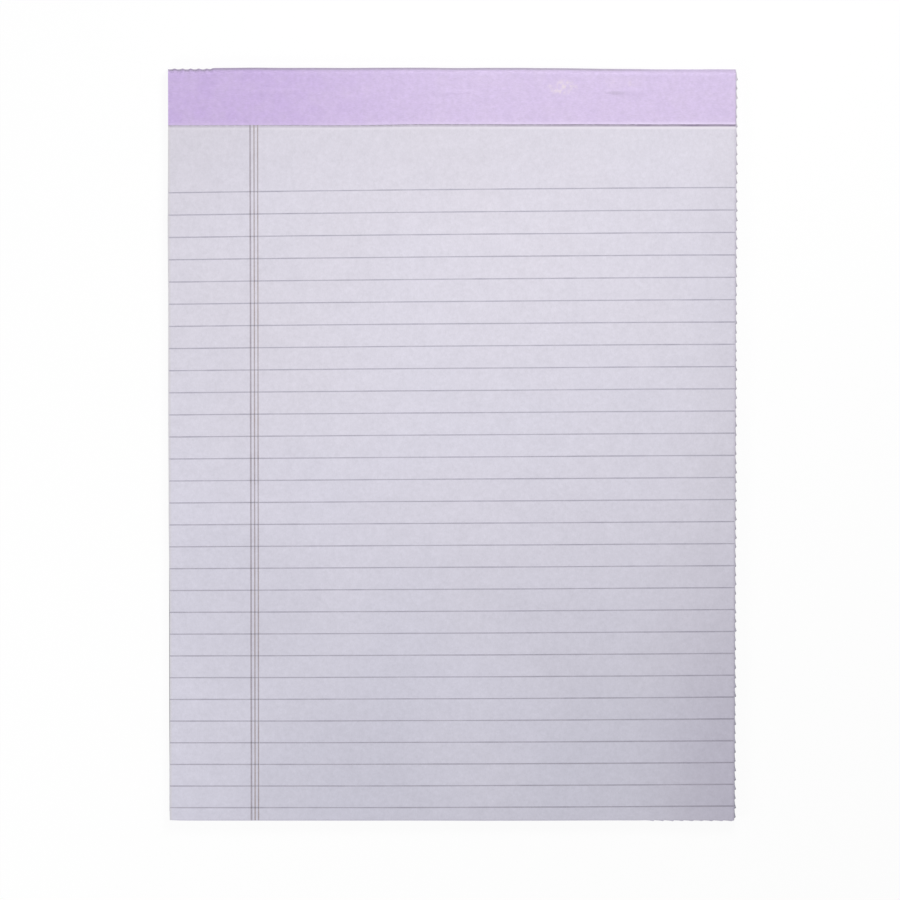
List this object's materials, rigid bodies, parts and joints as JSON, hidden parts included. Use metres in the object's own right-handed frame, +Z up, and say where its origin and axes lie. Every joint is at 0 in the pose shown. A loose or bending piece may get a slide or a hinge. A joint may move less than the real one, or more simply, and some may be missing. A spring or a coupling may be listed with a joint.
{
  "type": "legal pad",
  "caption": "Top-bound ruled writing pad: perforated sheets on a chipboard back, stapled at the head under a folded paper tape.",
  "frame": {"origin": "middle of the footprint, on the surface that the pad lies on", "axes": "+Y from the foot to the bound head, +Z up out of the top sheet, +X to the right of the sheet"},
  "size_m": [0.216, 0.2984, 0.0056],
  "materials": {
    "page_paper": "matt lavender-grey writing paper",
    "chipboard": "matt grey-brown chipboard",
    "tape_paper": "matt orchid binding paper",
    "staple_wire": "bright galvanised wire",
    "rule_ink": "thin grey print",
    "margin_ink": "thin warm grey print"
  },
  "bodies": {
    "root": {"page_block": "page_paper", "backing_board": "chipboard", "binding_tape": "tape_paper", "staple_left": "staple_wire", "staple_middle": "staple_wire", "staple_right": "staple_wire", "ruled_lines": "rule_ink", "margin_lines": "margin_ink"}
  },
  "joints": []
}
